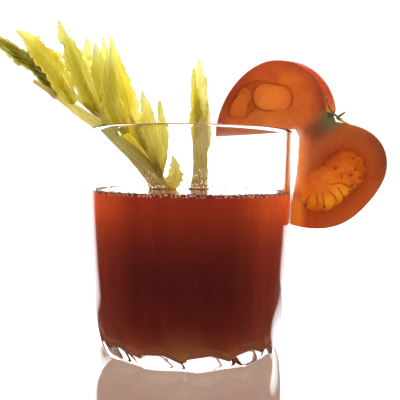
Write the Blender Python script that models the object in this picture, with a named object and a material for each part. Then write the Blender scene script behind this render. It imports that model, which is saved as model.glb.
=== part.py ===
"""Tumbler of tomato juice with two celery sprigs and a slice of tomato.

Lengths are written in millimetres and scaled once, when a mesh is made.
The origin is the centre of the flat underside, +Z is up, +X points to the
tomato slice and -Y to the side from which the slice shows its cut face.
"""
import math

import bmesh
import bpy
from mathutils import Vector

MM = 0.001
GAP = 0.3                   # clear distance between touching pieces

# Tumbler
GLASS_HEIGHT = 88.6
RIM_RADIUS = 40.6
LIP = 0.9                   # radius of the rounded lip
BASE_THICKNESS = 5.0
FLUTES = 12
FLUTE_TOP = 38.0            # the swirled flutes fade out at this height
FLUTE_DEPTH = 1.5
FLUTE_TWIST = 0.62          # radians from the fade-out down to the base
GLASS_SIDES = 72

# Juice
JUICE_LEVEL = 64.0
JUICE_SIDES = 56

# Celery
LEAF_THICKNESS = 0.9
STALK_SIDES = 12

# Tomato slice
SLICE_THICKNESS = 8.0
SKIN_LEAN = (3.0, 1.4)      # back outline outside the front, each lobe
GEL_THICKNESS = 7.4

# Height and radius of the outer wall, and of the hollow
OUTER = ((0.0, 35.4), (0.8, 36.5), (2.4, 37.2), (5.0, 37.8), (8.0, 38.1), (12.0, 38.45),
         (16.0, 38.75), (20.0, 39.0), (25.0, 39.2), (31.0, 39.4), (38.0, 39.7),
         (48.0, 40.1), (60.0, 40.45), (74.0, 40.55), (86.8, 40.6))
HOLLOW = ((86.9, 38.9), (74.0, 38.6), (60.0, 38.3), (48.0, 37.9), (38.0, 37.5),
          (29.0, 37.1), (20.0, 36.6), (13.0, 35.9), (9.0, 35.0), (7.0, 33.8),
          (5.8, 32.0), (5.2, 29.0))

# Centre line and radius of the celery stalks: x, y, z, radius
STALK_MAIN = ((-7.0, 3.0, 16.0, 3.9), (-8.8, 3.0, 40.0, 4.0), (-12.9, 3.4, 63.5, 3.7),
              (-16.6, 4.0, 70.0, 3.2), (-21.9, 4.2, 76.3, 2.6), (-27.2, 4.5, 81.3, 2.0),
              (-33.0, 5.0, 86.2, 1.7), (-38.9, 5.0, 91.9, 1.5), (-49.3, 5.0, 98.5, 1.45),
              (-58.3, 5.0, 104.2, 1.0), (-66.0, 5.0, 108.4, 0.7))
STALK_SECOND = ((-13.2, 3.2, 66.0, 1.6), (-13.6, 1.6, 72.5, 1.5), (-18.0, 0.6, 81.0, 1.3),
                (-22.4, 0.4, 88.8, 1.1), (-25.3, 0.6, 94.5, 0.9))
STALK_THIRD = ((-33.0, 5.0, 86.4, 1.2), (-36.4, 2.8, 92.0, 1.1), (-42.6, 1.2, 100.2, 0.8))
STALK_SMALL = ((3.4, 3.0, 16.0, 2.9), (3.3, 5.0, 40.0, 3.1), (3.2, 7.0, 63.0, 3.1),
               (4.2, 7.8, 71.5, 2.8), (3.2, 8.4, 81.0, 2.9), (3.6, 9.0, 91.0, 3.0),
               (3.5, 9.4, 99.0, 2.4), (3.4, 9.6, 106.0, 1.2))

# Leaves: centre line, widest half width, tilt in degrees about that line,
# fold of the two halves, number of side teeth
LEAVES_LARGE = {
    "leaf_far_left": (((-55.5, 5.0, 102.6), (-64.2, 8.0, 113.8), (-72.4, 11.0, 120.2),
                       (-81.6, 13.0, 126.2), (-90.0, 14.0, 130.4)), 4.9, 42, 0.30, 4),
    "leaf_left": (((-46.8, 5.0, 97.0), (-52.6, 4.0, 105.6), (-59.2, 3.0, 115.2),
                   (-65.2, 2.0, 121.8), (-71.4, 1.0, 127.8)), 5.3, -32, 0.35, 5),
    "leaf_centre": (((-35.6, 3.0, 91.0), (-39.6, 0.6, 99.0), (-44.6, -1.4, 110.4),
                     (-48.7, -2.6, 120.4), (-52.8, -4.0, 130.8)), 5.5, 24, 0.35, 5),
    "leaf_pale": (((-37.6, 4.6, 93.4), (-41.8, 7.2, 105.4), (-44.2, 8.4, 116.4),
                   (-44.8, 8.8, 126.0)), 3.4, -20, 0.30, 4),
    "leaf_behind": (((-35.6, 4.8, 90.0), (-37.2, 6.0, 100.0), (-38.8, 6.6, 112.0),
                     (-40.8, 6.8, 124.4)), 4.2, -18, 0.30, 4),
    "leaf_back": (((-33.6, 5.2, 88.2), (-34.0, 9.4, 100.0), (-36.2, 11.4, 114.0),
                   (-38.4, 12.0, 126.8)), 4.0, 15, 0.30, 4),
    "leaf_front": (((-20.8, 0.5, 85.8), (-27.2, -2.8, 91.6), (-31.6, -5.6, 99.0),
                    (-32.5, -7.4, 108.6), (-31.6, -8.0, 119.4)), 4.4, 16, 0.30, 5),
    "leaf_base": (((-14.6, 3.0, 72.6), (-21.5, 3.2, 81.0), (-28.4, 3.6, 88.6),
                   (-32.0, 4.6, 97.0)), 3.2, 14, 0.25, 3),
    "leaf_bright": (((-15.4, 1.0, 76.4), (-21.4, 0.8, 86.8), (-26.0, 1.4, 94.4),
                     (-27.6, 2.2, 103.6), (-30.5, 2.8, 114.0), (-33.8, 3.6, 125.4)),
                    4.8, -14, 0.25, 6),
    "leaf_inner": (((-12.2, 2.2, 70.0), (-13.8, -2.2, 80.0), (-16.4, -4.4, 90.6),
                    (-19.4, -5.4, 103.4)), 4.6, 20, 0.40, 4),
    "leaf_side": (((-12.4, 3.2, 71.0), (-12.2, 2.4, 80.0), (-12.9, 2.2, 90.4),
                   (-14.6, 3.0, 99.6)), 2.3, -12, 0.30, 3),
    "leaf_low": (((-12.0, 3.2, 66.6), (-7.6, 2.6, 67.6), (-5.6, 2.0, 71.4),
                  (-7.8, 1.4, 77.4)), 2.9, 10, 0.2, 3),
}
LEAVES_SMALL = {
    "blade_middle": (((3.6, 9.0, 90.0), (3.5, 8.0, 104.0), (3.4, 9.0, 119.0)),
                     3.7, 8, 0.35, 4),
    "blade_right": (((4.6, 9.2, 86.0), (6.6, 11.8, 99.0), (6.6, 12.4, 112.4)),
                    2.2, 30, 0.3, 3),
    "blade_left": (((2.4, 9.0, 86.0), (0.9, 6.4, 99.0), (1.1, 5.6, 114.6)),
                   2.2, -36, 0.3, 3),
}

# Round outlines of the tomato slice, drawn in x and z: the centre, then the
# mean radius followed by the cosine and sine terms of the first harmonics
UPPER_LOBE = ((35.0, 92.0), (24.80, -1.25, -1.39, -1.69, 1.53))
LOWER_LOBE = ((57.0, 70.0), (24.95, -6.07, 2.62, 3.43, 0.20, -0.77, 1.40))
LOBE_SPANS = ((194.5, 9.8), (86.6, -129.6))     # degrees, clockwise
LOBE_STEPS = (24, 30)
GELS = {
    "tomato_gel_lower": (((58.8, 70.8), (11.65, 0.05, -1.78, 0.15, 3.42, 0.56, -0.38)), 28),
    "tomato_gel_upper_left": (((20.2, 100.2), (4.50, -0.29, -0.74, -1.20, 1.50)), 18),
    "tomato_gel_upper_right": (((32.8, 101.9), (6.34, -0.34, -0.08, 1.23, -0.32)), 20),
}
# The cut quarter, with the slit that drops over the rim of the tumbler
QUARTER_CUT = ((41.2, 50.9), (41.2, 57.6), (42.5, 67.6), (43.4, 77.0), (43.6, 86.0),
               (42.2, 89.2), (37.6, 89.2), (37.6, 87.6), (24.0, 86.5))

# Centre lines of the calyx parts: x, y, z, radius
CALYX = (((60.0, -1.0, 94.4, 0.9), (60.3, -1.4, 95.3, 0.8), (60.8, -1.6, 96.0, 0.7),
          (61.5, -1.8, 96.6, 0.5)),
         ((60.2, -1.4, 95.0, 0.8), (58.8, -3.9, 95.6, 0.7), (57.2, -5.4, 97.4, 0.65),
          (55.4, -5.3, 100.2, 0.55), (53.8, -5.2, 103.4, 0.4)),
         ((60.2, -1.0, 94.4, 0.8), (61.8, 0.6, 93.5, 0.65), (63.4, 1.4, 93.0, 0.5),
          (65.0, 1.8, 92.8, 0.35)))

for stale in list(bpy.data.objects):
    bpy.data.objects.remove(stale, do_unlink=True)


def material(name, colour, roughness, alpha=1.0):
    """One plain Principled material for a sub-part."""
    made = bpy.data.materials.new(name)
    made.use_nodes = True
    shader = made.node_tree.nodes["Principled BSDF"]
    shader.inputs["Base Color"].default_value = (*colour, 1.0)
    shader.inputs["Roughness"].default_value = roughness
    shader.inputs["Alpha"].default_value = alpha
    made.diffuse_color = (*colour, alpha)
    return made


def finish(name, mesh_data, look, sharp=35.0):
    """Scale the working mesh to metres and make it an object."""
    bmesh.ops.scale(mesh_data, vec=(MM, MM, MM), verts=mesh_data.verts)
    bmesh.ops.recalc_face_normals(mesh_data, faces=mesh_data.faces)
    mesh = bpy.data.meshes.new(name)
    mesh_data.to_mesh(mesh)
    mesh_data.free()
    mesh.shade_smooth()
    mesh.set_sharp_from_angle(angle=math.radians(sharp))
    mesh.materials.append(look)
    made = bpy.data.objects.new(name, mesh)
    bpy.context.scene.collection.objects.link(made)
    return made


def hide_cutter(cutter):
    cutter.hide_render = True
    cutter.display_type = "WIRE"


def boolean(target, operation, cutter):
    step = target.modifiers.new(operation.lower(), "BOOLEAN")
    step.operation = operation
    step.solver = "EXACT"
    step.object = cutter
    hide_cutter(cutter)


def between(table, height):
    """Linear reading of a table of (height, radius)."""
    rows = sorted(table)
    if height <= rows[0][0]:
        return rows[0][1]
    for low, high in zip(rows, rows[1:]):
        if height <= high[0]:
            share = (height - low[0]) / (high[0] - low[0])
            return low[1] + share * (high[1] - low[1])
    return rows[-1][1]


def smooth_line(points, steps):
    """Catmull-Rom line through the points, any number of values each."""
    ends = [tuple(2 * a - b for a, b in zip(points[0], points[1]))]
    ends += list(points)
    ends.append(tuple(2 * a - b for a, b in zip(points[-1], points[-2])))
    line = []
    for index in range(steps + 1):
        place = index / steps * (len(points) - 1)
        span = min(int(place), len(points) - 2)
        t = place - span
        p0, p1, p2, p3 = ends[span:span + 4]
        line.append(tuple(
            0.5 * (2 * b + (c - a) * t + (2 * a - 5 * b + 4 * c - d) * t * t
                   + (3 * b - a - 3 * c + d) * t ** 3)
            for a, b, c, d in zip(p0, p1, p2, p3)))
    return line


def bridge(work, lower, upper):
    count = len(lower)
    for index in range(count):
        after = (index + 1) % count
        work.faces.new((lower[index], lower[after], upper[after], upper[index]))


def revolve(work, rings, sides, bottom_z, top_z):
    """Stack rings of radius functions and close both ends with a fan."""
    loops = []
    for height, radius in rings:
        loop = []
        for index in range(sides):
            angle = 2 * math.pi * index / sides
            reach = radius(angle, height) if callable(radius) else radius
            loop.append(work.verts.new((reach * math.cos(angle),
                                        reach * math.sin(angle), height)))
        loops.append(loop)
    for lower, upper in zip(loops, loops[1:]):
        bridge(work, lower, upper)
    for loop, height in ((loops[0], bottom_z), (loops[-1], top_z)):
        centre = work.verts.new((0.0, 0.0, height))
        for index in range(sides):
            work.faces.new((loop[index], loop[(index + 1) % sides], centre))


def flute(angle, height):
    """Depth of the swirled flutes, sharp ridges with a lopsided scoop."""
    if height >= FLUTE_TOP:
        return 0.0
    share = 1.0 - height / FLUTE_TOP
    turn = FLUTE_TWIST * share ** 1.4
    place = (FLUTES * (angle - turn) / (2 * math.pi)) % 1.0
    scoop = 4.0 * place ** 1.4 * (1.0 - place ** 1.4)
    return FLUTE_DEPTH * min(1.0, share ** 1.8 * 1.35) * scoop


def build_glass():
    work = bmesh.new()
    rings = [(height, lambda angle, z: between(OUTER, z) - flute(angle, z))
             for height, _ in OUTER]
    top, outer_top = GLASS_HEIGHT - LIP, RIM_RADIUS
    for turn in (20, 55, 90, 125, 160):
        bend = math.radians(turn)
        rings.append((top + LIP * math.sin(bend),
                      outer_top - LIP + LIP * math.cos(bend)))
    rings += list(HOLLOW)
    revolve(work, rings, GLASS_SIDES, 0.0, BASE_THICKNESS)
    return finish("glass", work, material("glass", (0.93, 0.95, 0.94), 0.03, 0.35))


def tube(work, spine, steps, sides, flat=1.0, clear=0.0):
    """Tapered tube along a spine of (x, y, z, radius), grown by clear."""
    line = smooth_line(spine, steps)
    loops = []
    for index, (x, y, z, radius) in enumerate(line):
        before = Vector(line[max(index - 1, 0)][:3])
        after = Vector(line[min(index + 1, steps)][:3])
        along = (after - before).normalized()
        across = along.cross(Vector((0.0, 1.0, 0.0))).normalized()
        depth = across.cross(along).normalized()
        loop = []
        for side in range(sides):
            angle = 2 * math.pi * side / sides
            offset = across * math.cos(angle) + depth * math.sin(angle) * flat
            centre = Vector((x, y, z)) - along * (clear if index == 0 else 0.0)
            loop.append(work.verts.new(centre + offset * (radius + clear)))
        loops.append(loop)
    for lower, upper in zip(loops, loops[1:]):
        bridge(work, lower, upper)
    work.faces.new(loops[0])
    work.faces.new(loops[-1])


def leaf(work, spine, half_width, tilt, fold, teeth, steps=12):
    """Thin wavy blade with toothed sides, both faces split alike."""
    line = smooth_line(spine, steps)
    spread = (-1.0, -0.5, 0.0, 0.5, 1.0)
    lean = math.radians(tilt)
    faces = ([], [])
    for index, point in enumerate(line):
        t = index / steps
        before = Vector(line[max(index - 1, 0)])
        after = Vector(line[min(index + 1, steps)])
        along = (after - before).normalized()
        side = along.cross(Vector((0.0, 1.0, 0.0))).normalized()
        depth = side.cross(along).normalized()
        across = side * math.cos(lean) + depth * math.sin(lean)
        up = along.cross(across).normalized()
        swell = math.sin(math.pi * min(1.0, 0.06 + 0.93 * t ** 0.9)) ** 0.8
        tooth = 1.0 + 0.2 * math.sin(2 * math.pi * teeth * t) * min(1.0, 2.0 * t)
        width = max(0.5, half_width * swell * tooth)
        for v_index, v in enumerate(spread):
            rise = fold * abs(v) * width + 0.35 * v * math.sin(7.0 * t + 2.0 * v)
            middle = Vector(point) + across * (v * width) + up * rise
            thick = LEAF_THICKNESS / 2 * (1.0 - 0.25 * abs(v))
            for face, sign in zip(faces, (1.0, -1.0)):
                if v_index == 0:
                    face.append([])
                face[-1].append(work.verts.new(middle + up * (thick * sign)))
    last = len(spread) - 1
    for face in faces:
        for row, above in zip(face, face[1:]):
            for column in range(last):
                a, b, c, d = row[column], row[column + 1], above[column + 1], above[column]
                work.faces.new((a, b, c))
                work.faces.new((a, c, d))
    front, back = faces
    for index in range(steps):
        for column in (0, last):
            work.faces.new((front[index][column], front[index + 1][column],
                            back[index + 1][column], back[index][column]))
    for row in (0, steps):
        for column in range(last):
            work.faces.new((front[row][column], front[row][column + 1],
                            back[row][column + 1], back[row][column]))


def build_sprig(name, stalk, side_stalks, leaves, look):
    work = bmesh.new()
    tube(work, stalk, 3 * (len(stalk) - 1), STALK_SIDES)
    sprig = finish(name, work, look)
    for index, spine in enumerate(side_stalks):
        work = bmesh.new()
        tube(work, spine, 2 * (len(spine) - 1) + 2, 8)
        boolean(sprig, "UNION", finish(f"{name}_branch_{index}", work, look))
    for label, (spine, half_width, tilt, fold, teeth) in leaves.items():
        work = bmesh.new()
        leaf(work, spine, half_width, tilt, fold, teeth)
        boolean(sprig, "UNION", finish(f"{name}_{label}", work, look))
    return sprig


def build_juice():
    """Juice up to its level, clear of the wall and cut round both stalks."""
    work = bmesh.new()
    heights = [z for z, _ in reversed(HOLLOW) if z < JUICE_LEVEL]
    rings = [(z + GAP * 0.8, between(HOLLOW, z) - GAP) for z in heights]
    rings.append((JUICE_LEVEL, between(HOLLOW, JUICE_LEVEL) - GAP))
    revolve(work, rings, JUICE_SIDES, BASE_THICKNESS + GAP, JUICE_LEVEL)
    look = material("tomato_juice", (0.36, 0.045, 0.02), 0.25)
    juice = finish("juice", work, look)
    holes = (STALK_MAIN, STALK_SMALL)
    for index, spine in enumerate(holes):
        work = bmesh.new()
        tube(work, spine, 3 * (len(spine) - 1), STALK_SIDES, clear=GAP)
        boolean(juice, "DIFFERENCE", finish(f"juice_hole_{index}", work, look))
    return juice


def round_outline(shape, start, stop, steps, grow=0.0):
    """Points of a harmonic outline between two angles in degrees."""
    centre, terms = shape
    outline = []
    for index in range(steps):
        angle = math.radians(start + (stop - start) * index / (steps - 1))
        reach = terms[0] + grow
        for order in range(1, len(terms) // 2 + 1):
            reach += terms[2 * order - 1] * math.cos(order * angle)
            reach += terms[2 * order] * math.sin(order * angle)
        outline.append((centre[0] + reach * math.cos(angle),
                        centre[1] + reach * math.sin(angle)))
    return outline


def slab(work, rows):
    """Close a stack of outlines given as (y, outline) from front to back."""
    loops = [[work.verts.new((x, y, z)) for x, z in outline] for y, outline in rows]
    for lower, upper in zip(loops, loops[1:]):
        bridge(work, lower, upper)
    work.faces.new(loops[0])
    work.faces.new(loops[-1])


def build_slice():
    """Flesh of the slice with its openings, leaning skin and slit."""
    half = SLICE_THICKNESS / 2
    rows = []
    for y, lean in ((-half, 0.0), (-half * 0.4, 0.45), (half * 0.4, 0.85), (half, 1.0)):
        outline = []
        for shape, span, steps, widest in zip((UPPER_LOBE, LOWER_LOBE), LOBE_SPANS,
                                              LOBE_STEPS, SKIN_LEAN):
            lobe = round_outline(shape, span[0], span[1], steps)
            for index, (x, z) in enumerate(lobe):
                outward = Vector((x - shape[0][0], z - shape[0][1])).normalized()
                edge = min(1.0, min(index, steps - 1 - index) / 4.0)
                swell = widest * lean * edge * max(0.0, outward.x)
                outline.append((x + outward.x * swell, z + outward.y * swell))
        rows.append((y, outline + list(QUARTER_CUT)))
    work = bmesh.new()
    slab(work, rows)
    flesh = finish("tomato_flesh", work, material("tomato_flesh", (0.50, 0.10, 0.03), 0.3))
    gel_look = material("tomato_gel", (0.62, 0.2, 0.03), 0.15)
    for name, (shape, steps) in GELS.items():
        turn = 360.0 * (1.0 - 1.0 / steps)
        ring = round_outline(shape, 0.0, turn, steps)
        work = bmesh.new()
        slab(work, [(-half - 1.0, ring), (half + 1.0, ring)])
        boolean(flesh, "DIFFERENCE", finish(f"{name}_opening", work, gel_look))
        inner = round_outline(shape, 0.0, turn, steps, grow=-1.3 * GAP)
        work = bmesh.new()
        slab(work, [(-GEL_THICKNESS / 2, inner), (GEL_THICKNESS / 2, inner)])
        finish(name, work, gel_look)
    return flesh


def build_calyx():
    look = material("tomato_calyx", (0.05, 0.09, 0.03), 0.6)
    first = None
    for index, spine in enumerate(CALYX):
        work = bmesh.new()
        tube(work, spine, 2 * (len(spine) - 1), 8, flat=0.8)
        name = "tomato_calyx" if first is None else f"tomato_calyx_sepal_{index}"
        made = finish(name, work, look)
        if first is None:
            first = made
        else:
            boolean(first, "UNION", made)
    return first


build_glass()
build_juice()
celery = material("celery", (0.45, 0.42, 0.06), 0.45)
build_sprig("celery_large", STALK_MAIN, (STALK_SECOND, STALK_THIRD), LEAVES_LARGE, celery)
build_sprig("celery_small", STALK_SMALL, (), LEAVES_SMALL, celery)
build_slice()
build_calyx()
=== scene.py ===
"""Tumbler of tomato juice with two celery sprigs and a slice of tomato.

Lengths in the tables are millimetres and colours are the 0 to 255 values of
a paint chart. +Z is up, +X points to the tomato and -Y to the camera.
"""
import math
import random

import bmesh
import bpy
from bpy.props import (FloatProperty, FloatVectorProperty, IntProperty,
                       PointerProperty)
from mathutils import Matrix, Vector, noise


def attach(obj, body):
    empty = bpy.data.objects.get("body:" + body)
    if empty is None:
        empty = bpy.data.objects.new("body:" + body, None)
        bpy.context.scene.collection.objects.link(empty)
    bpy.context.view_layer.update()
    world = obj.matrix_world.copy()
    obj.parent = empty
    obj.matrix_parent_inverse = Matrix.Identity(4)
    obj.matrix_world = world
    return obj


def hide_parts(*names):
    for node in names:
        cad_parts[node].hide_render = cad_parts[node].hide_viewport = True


bl_info = {
    "name": "Tomato Juice with Celery",
    "version": (1, 0, 0),
    "blender": (4, 5, 0),
    "location": "3D View > Sidebar > Tomato Juice",
    "description": "Tumbler of tomato juice with celery sprigs and a tomato slice",
    "category": "Add Mesh",
}

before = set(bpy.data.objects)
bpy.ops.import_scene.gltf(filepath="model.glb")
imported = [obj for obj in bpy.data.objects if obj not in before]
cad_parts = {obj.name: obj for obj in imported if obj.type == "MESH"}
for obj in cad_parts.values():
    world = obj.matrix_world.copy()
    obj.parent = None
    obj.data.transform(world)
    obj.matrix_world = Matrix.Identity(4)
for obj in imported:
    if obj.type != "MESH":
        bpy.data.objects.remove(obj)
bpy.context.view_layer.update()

MM = 0.001

# Height and radius of the outer wall, and of the hollow
OUTER = ((0.0, 35.4), (0.8, 36.5), (2.4, 37.2), (5.0, 37.8), (8.0, 38.1), (12.0, 38.45),
         (16.0, 38.75), (20.0, 39.0), (25.0, 39.2), (31.0, 39.4), (38.0, 39.7),
         (48.0, 40.25), (60.0, 40.75), (74.0, 40.95), (86.8, 41.0))
HOLLOW = ((86.9, 39.2), (74.0, 38.9), (60.0, 38.55), (48.0, 38.0), (38.0, 37.5),
          (29.0, 37.1), (20.0, 36.6), (13.0, 35.9), (9.0, 35.0), (7.0, 33.8),
          (5.8, 32.0), (5.2, 29.0))
GLASS_HEIGHT = 88.6
RIM_RADIUS = 41.0
LIP = 0.9
BASE_THICKNESS = 5.0
FLUTE_TOP = 38.0
FLUTES = 12
RIDGE_STEPS = 24            # columns of faces in each flute
OUTER_STEPS, HOLLOW_STEPS = 84, 66
WALL_REACH = 0.2            # how far the juice reaches into the wall
FACET_HEIGHT = 8.0          # how far up the flutes bend the foot of the juice
FACET_START = 22.0          # radius from which they do
BUBBLE_CLIMB = 8.0          # how far the bubbles climb up a stalk
LEAF_STEPS, LEAF_COLUMNS = 72, 12
STALK_STEPS = 9             # rings of points from one row of a stalk's table to the next
WALL_DEPTH, SEED_DEPTH = 0.12, 0.05     # how deep they lie under the cut face
GEL_OVERLAP = 0.35          # how far the gel reaches under the flesh
CHAMBER_STEPS = 72          # corners of the hole for a chamber
SLIT_SIDE, SLIT_TOP = 44.5, 90.0        # x and z that the slit stays within
CUT_PIECE = 1.5             # longest straight piece of the cut

# Light that reaches each finish, on which its colours are reckoned
FLESH_LIGHT = (0.80, 0.335, 0.15)
GEL_LIGHT = (0.81, 0.29, 0.082)
JUICE_LIGHT = 0.77
LEAF_LIGHT = 1.2

# Centre line and radius of the celery stalks: x, y, z, radius
STALK_MAIN = ((-7.0, 3.0, 16.0, 3.9), (-8.8, 3.0, 40.0, 4.0), (-12.9, 3.4, 63.5, 3.7),
              (-16.6, 4.0, 70.0, 3.4), (-21.9, 4.2, 76.0, 3.1), (-27.4, 4.5, 81.0, 2.7),
              (-33.4, 5.0, 85.6, 2.3), (-39.4, 5.0, 90.8, 2.1), (-48.0, 5.0, 96.6, 2.0),
              (-50.4, 5.0, 98.4, 1.7), (-58.3, 5.0, 103.8, 1.2), (-66.0, 5.0, 108.4, 0.75))
STALK_SECOND = ((-13.2, 3.2, 66.0, 1.6), (-13.6, 1.6, 72.5, 1.5), (-18.0, 0.6, 81.0, 1.3),
                (-22.4, 0.4, 88.8, 1.0), (-25.3, 0.6, 94.5, 0.5))
STALK_THIRD = ((-31.0, 4.4, 84.6, 1.2), (-33.8, 3.4, 90.4, 1.3), (-41.0, 2.4, 96.6, 1.1),
               (-46.2, 2.4, 100.6, 0.9), (-52.0, 2.6, 105.6, 0.6))
STALK_SMALL = ((3.4, 3.0, 16.0, 2.9), (3.3, 5.0, 40.0, 3.1), (3.5, 7.0, 63.0, 3.4),
               (4.1, 7.8, 71.5, 3.1), (3.8, 8.4, 81.0, 3.1), (3.4, 9.0, 89.0, 3.2),
               (3.2, 9.4, 97.0, 2.6), (3.1, 9.6, 104.0, 1.4))

# Leaves: centre line, widest half width, tilt in degrees about that line, fold
# of the two halves, number of side teeth, and the colours of foot and tip
LEAVES_LARGE = (
    (((-56.0, 5.0, 102.0), (-63.4, 8.0, 112.6), (-72.0, 11.0, 119.6),
      (-81.4, 13.0, 125.6), (-90.0, 14.0, 130.4)), 4.7, 42, 0.30, 4,
     (34, 28, 8), (110, 102, 22)),
    (((-49.4, 4.0, 99.0), (-54.2, 3.0, 107.4), (-59.6, 2.4, 115.6),
      (-65.2, 2.0, 122.0), (-71.6, 1.0, 127.8)), 5.9, -32, 0.35, 4,
     (176, 156, 26), (228, 214, 76)),
    (((-37.6, 2.4, 94.4), (-41.4, 0.6, 102.0), (-45.4, -1.4, 111.4),
      (-48.9, -2.6, 121.0), (-53.0, -4.0, 131.0)), 5.2, 24, 0.35, 3,
     (192, 172, 48), (182, 174, 66)),
    (((-37.6, 4.6, 93.4), (-41.8, 7.2, 105.4), (-44.2, 8.4, 116.4),
      (-44.8, 8.8, 127.0)), 3.2, -20, 0.30, 3, (240, 228, 110), (252, 252, 130)),
    (((-35.6, 4.8, 90.0), (-37.4, 6.0, 100.0), (-39.2, 6.6, 112.0),
      (-41.0, 6.8, 124.4)), 4.4, -18, 0.30, 4, (226, 214, 108), (220, 214, 116)),
    (((-33.6, 5.2, 88.2), (-34.0, 9.4, 100.0), (-36.2, 11.4, 114.0),
      (-38.0, 12.0, 128.0)), 3.8, 15, 0.30, 3, (236, 222, 90), (250, 250, 110)),
    (((-26.4, 0.5, 86.8), (-29.6, -2.8, 93.6), (-31.8, -5.6, 101.0),
      (-32.5, -7.4, 109.6), (-31.8, -8.0, 119.4)), 4.7, 16, 0.30, 3,
     (184, 162, 38), (192, 178, 62)),
    (((-14.6, 3.0, 72.6), (-21.5, 3.2, 81.0), (-28.4, 3.6, 88.6),
      (-32.0, 4.6, 97.0)), 3.0, 14, 0.25, 3, (216, 190, 60), (240, 206, 40)),
    (((-15.4, 1.0, 76.4), (-21.0, 0.8, 86.8), (-25.0, 1.4, 94.4),
      (-27.2, 2.2, 103.6), (-30.9, 2.8, 114.0), (-34.2, 3.6, 126.4)),
     4.6, -14, 0.25, 4, (240, 204, 40), (252, 244, 96)),
    (((-12.2, 2.2, 70.0), (-13.8, -2.2, 80.0), (-16.4, -4.4, 90.6),
      (-19.4, -5.4, 103.4)), 4.4, 20, 0.40, 4, (228, 202, 82), (240, 232, 112)),
    (((-12.4, 3.2, 71.0), (-11.6, 2.4, 80.0), (-12.1, 2.2, 90.4),
      (-13.4, 3.0, 100.4)), 2.3, -12, 0.30, 3, (222, 206, 100), (246, 240, 110)),
    (((-11.4, 3.2, 65.8), (-7.6, 2.6, 67.2), (-6.2, 2.0, 71.2),
      (-7.5, 1.4, 78.0)), 3.6, 10, 0.2, 3, (254, 216, 100), (255, 255, 140)),
)
LEAVES_SMALL = (
    (((3.4, 8.8, 90.0), (2.8, 7.4, 101.0), (3.1, 8.6, 118.8)), 3.8, 8, 0.3, 3,
     (236, 220, 84), (254, 254, 190)),
    (((1.4, 7.8, 83.0), (1.3, 6.2, 95.0), (0.5, 5.6, 114.4)), 2.5, -20, 0.3, 3,
     (236, 218, 80), (254, 250, 90)),
    (((5.0, 10.6, 86.0), (5.2, 11.8, 96.0), (5.7, 12.4, 112.0)), 2.2, 20, 0.3, 3,
     (216, 194, 84), (250, 240, 124)),
    (((6.0, 8.8, 79.0), (6.8, 9.2, 88.0), (6.4, 10.0, 103.0)), 1.8, -6, 0.3, 4,
     (226, 204, 120), (252, 244, 160)),
)

# Round outlines of the tomato slice, drawn in x and z: the centre, then the
# mean radius followed by the cosine and sine terms of the first harmonics
UPPER_LOBE = ((35.0, 92.0), (24.80, -1.25, -1.39, -1.69, 1.53))
LOWER_LOBE = ((57.0, 70.0), (24.95, -6.07, 2.62, 3.43, 0.20, -0.77, 1.40))
LOBE_SPANS = ((194.5, 9.8), (86.6, -129.6))     # degrees, clockwise
LOBE_STEPS = (96, 120)
SKIN_LEAN = (3.4, 1.4)      # how far the skin of each lobe stands out behind
# Rows of the rind: share of the thickness, and share of the lean of the skin
SKIN_ROWS = ((0.0625, 0.0), (0.2, 0.2), (0.3, 0.45), (0.5, 0.7), (0.7, 0.88), (0.9, 0.97),
             (0.95, 1.0), (1.0, 1.0))
GELS = (
    ("tomato_gel_lower", ((58.8, 70.8), (11.65, 0.05, -1.78, 0.15, 3.42, 0.56, -0.38))),
    ("tomato_gel_upper_left", ((20.2, 100.2), (4.50, -0.29, -0.74, -1.20, 1.50))),
    ("tomato_gel_upper_right", ((32.8, 101.9), (6.34, -0.34, -0.08, 1.23, -0.32))),
)
# The rest of the outline, x and z, round the quarter that is cut out over the rim
QUARTER_CUT = ((41.2, 50.9), (41.2, 57.6), (42.5, 67.6), (43.4, 77.0), (43.6, 86.0),
               (42.2, 89.2), (37.6, 89.2), (37.6, 87.6), (24.0, 86.5))
# Half sizes of a seed, the middle of the fan they point away from, and their
# own middles, x and z
SEED_SIZE = (0.85, 0.42, 0.55)
FAN_MIDDLE = (55.6, 66.0)
SEEDS = ((66.0, 78.1), (58.9, 74.0), (66.8, 73.5), (64.9, 71.2), (70.5, 72.1), (68.7, 70.3),
         (65.6, 67.2), (67.6, 66.0), (63.2, 61.5), (54.6, 58.1), (46.9, 58.6))
# Walls between the seed chambers: from the middle of the fan outwards
WALLS = (((56.7, 67.2), (60.8, 68.0), (64.4, 66.4), (67.7, 65.2)),
         ((60.6, 72.4), (61.4, 70.6), (61.0, 68.9)), ((59.8, 66.3), (61.6, 63.4), (63.2, 60.6)),
         ((56.3, 64.6), (58.8, 62.2), (59.8, 60.1)), ((53.7, 63.2), (54.3, 60.5), (54.3, 57.7)),
         ((51.1, 63.8), (51.7, 61.1), (51.7, 58.1)), ((49.0, 63.2), (47.4, 60.5), (46.6, 57.7)))
# Pale veins round the chambers of the upper lobe
VEINS = (((14.6, 94.7), (18.5, 103.7), (22.4, 107.2), (26.9, 108.4), (31.4, 107.6),
          (36.5, 106.9), (39.5, 105.4), (40.6, 102.0), (40.1, 98.6)),
         ((25.8, 107.2), (25.2, 104.3), (24.7, 101.8), (25.1, 99.3), (26.0, 97.6)),
         ((26.0, 97.6), (23.2, 95.3), (21.7, 93.2)), ((26.0, 97.6), (29.2, 96.6), (33.7, 96.5)))

# Green core between the lobes, from the slit to the stem: x and z
CORE_ENDS = ((47.0, 86.0), (57.5, 94.5))
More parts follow.
